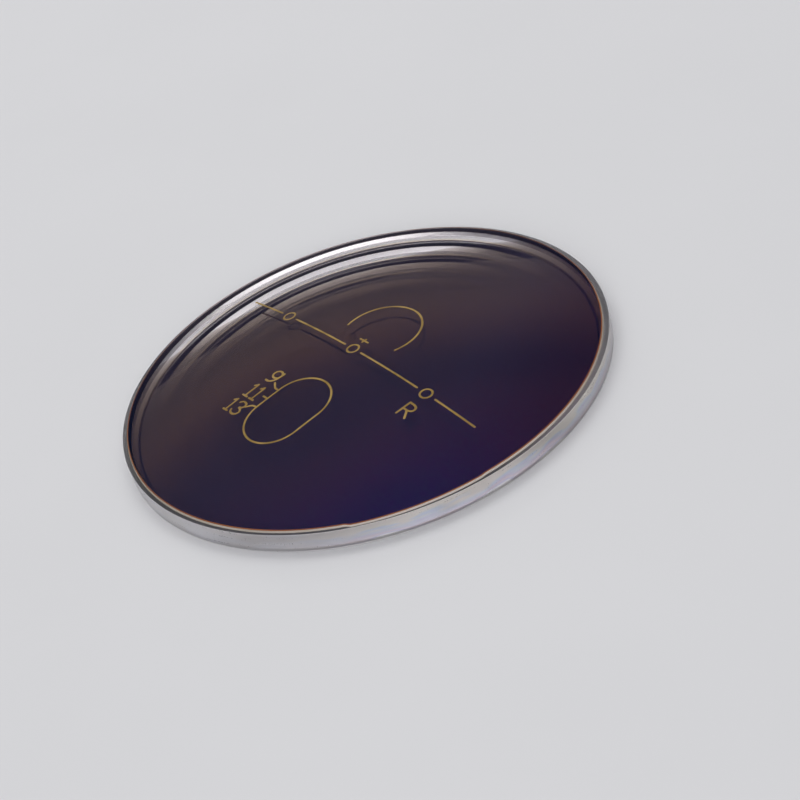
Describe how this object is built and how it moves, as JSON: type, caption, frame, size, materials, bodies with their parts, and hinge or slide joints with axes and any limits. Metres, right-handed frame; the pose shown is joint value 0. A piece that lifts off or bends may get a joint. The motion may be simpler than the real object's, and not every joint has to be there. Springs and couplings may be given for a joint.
{
  "type": "eyeglass lens",
  "caption": "Round uncut progressive eyeglass lens for the right eye: domed front, freeform hollow back, bevelled edge, gold layout marks.",
  "frame": {"origin": "centre of the round back rim, in the plane that the lens lies on", "axes": "+Z along the axis of the blank towards the domed front, +X towards the wearer's nose, +Y towards the top of the lens"},
  "size_m": [0.072, 0.072, 0.007],
  "materials": {
    "lens_resin": "polished faces with a violet anti-reflective coat, finely ground edge",
    "layout_ink": "thin gold stamping ink, wiped off after fitting"
  },
  "bodies": {
    "root": {"lens_blank": "lens_resin"}
  },
  "joints": []
}
